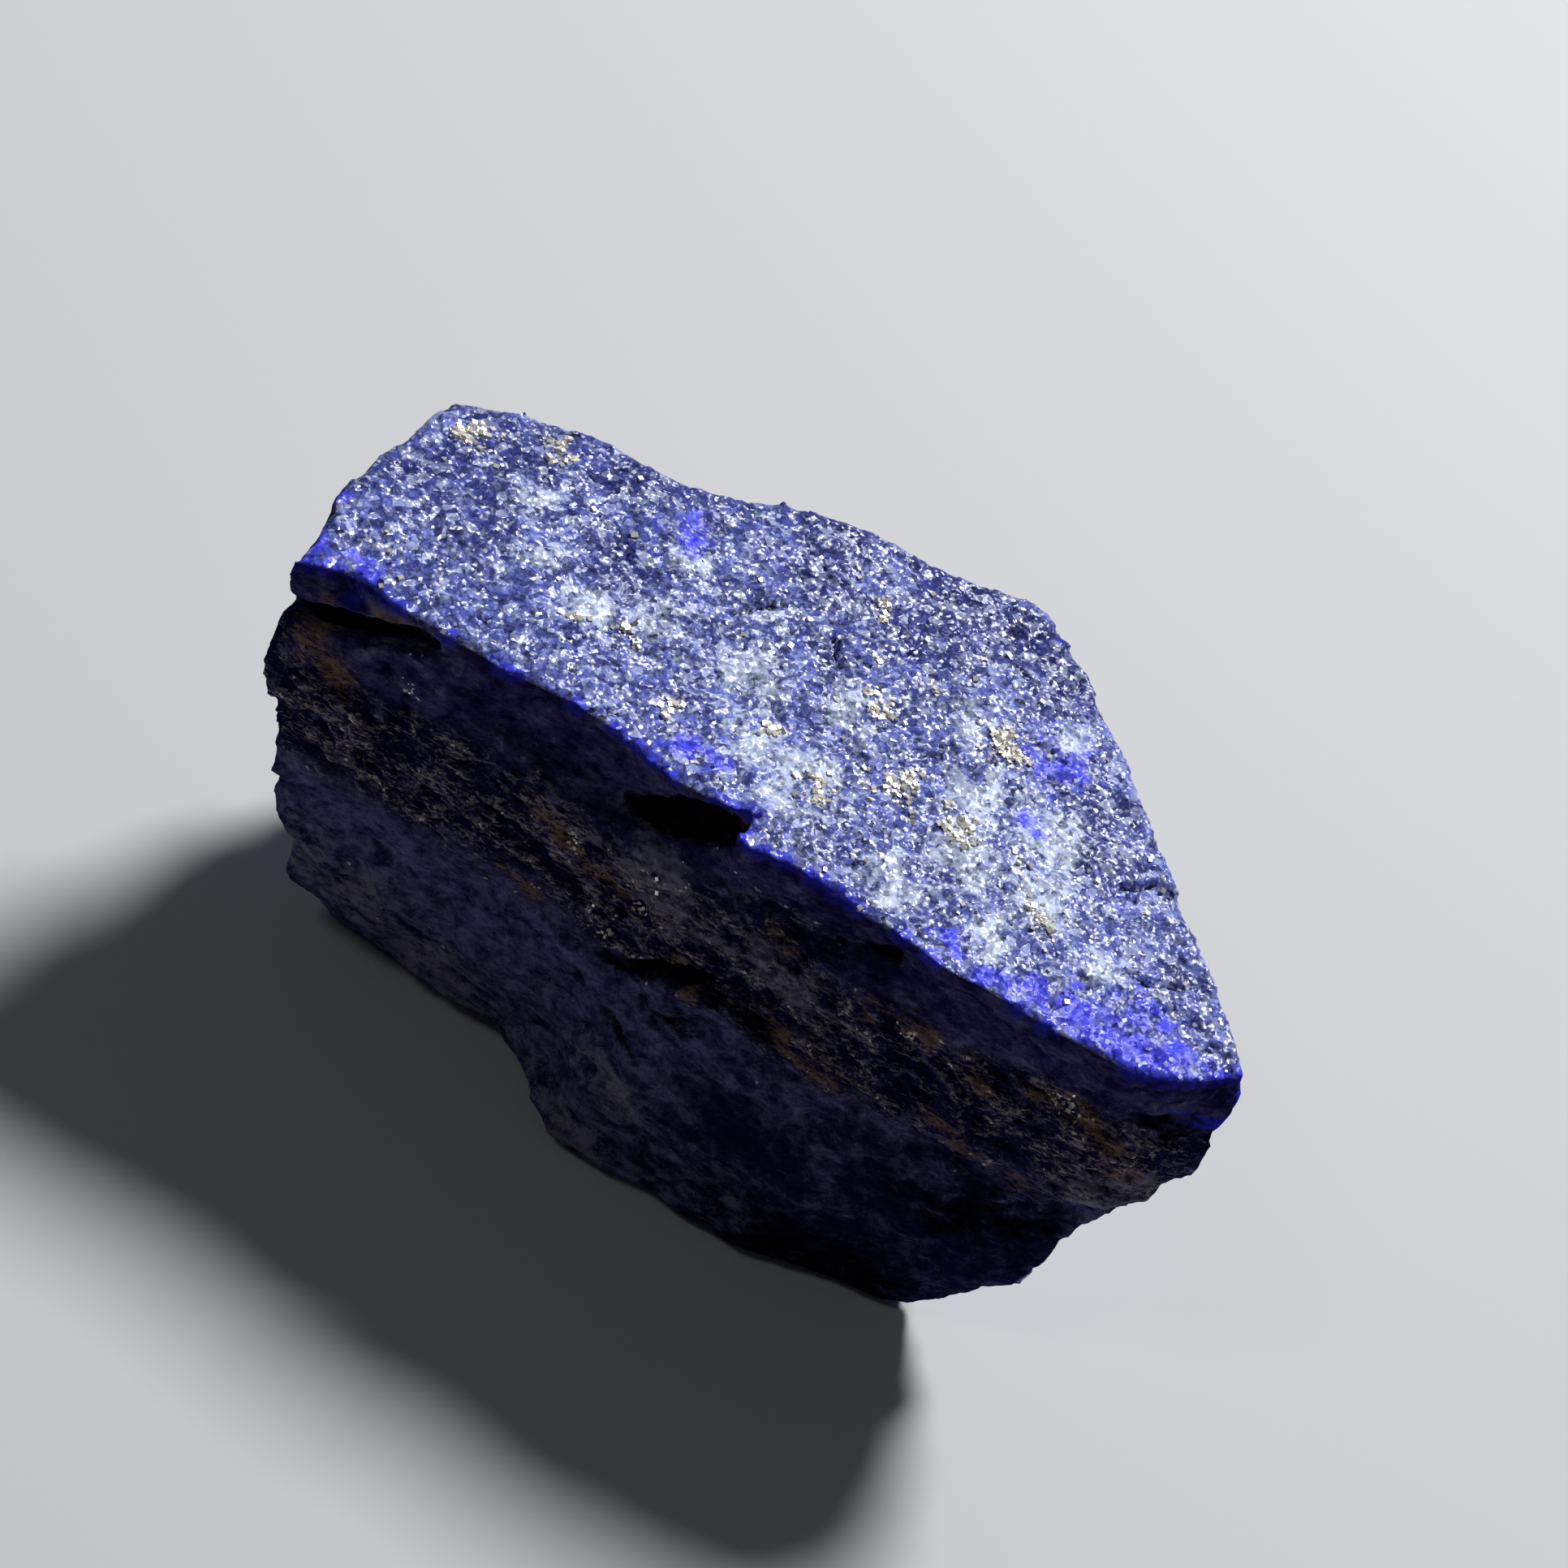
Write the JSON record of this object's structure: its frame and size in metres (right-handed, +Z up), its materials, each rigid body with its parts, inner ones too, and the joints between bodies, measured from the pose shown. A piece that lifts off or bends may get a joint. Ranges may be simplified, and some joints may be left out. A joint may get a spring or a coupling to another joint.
{
  "type": "raw lapis lazuli stone",
  "caption": "Rough broken lump of blue lapis lazuli with a slanting sparkling top, a long sharp ridge and a dark banded front, lying on its flat underside.",
  "frame": {"origin": "on the ground, under the middle of the stone's bounding box", "axes": "+X along the long front ridge, +Y from the banded front to the back, +Z up"},
  "size_m": [0.0568, 0.027, 0.0306],
  "materials": {
    "lapis": "rough broken surface with white calcite and glinting pyrite grains"
  },
  "bodies": {
    "root": {"lapis_stone": "lapis"}
  },
  "joints": []
}
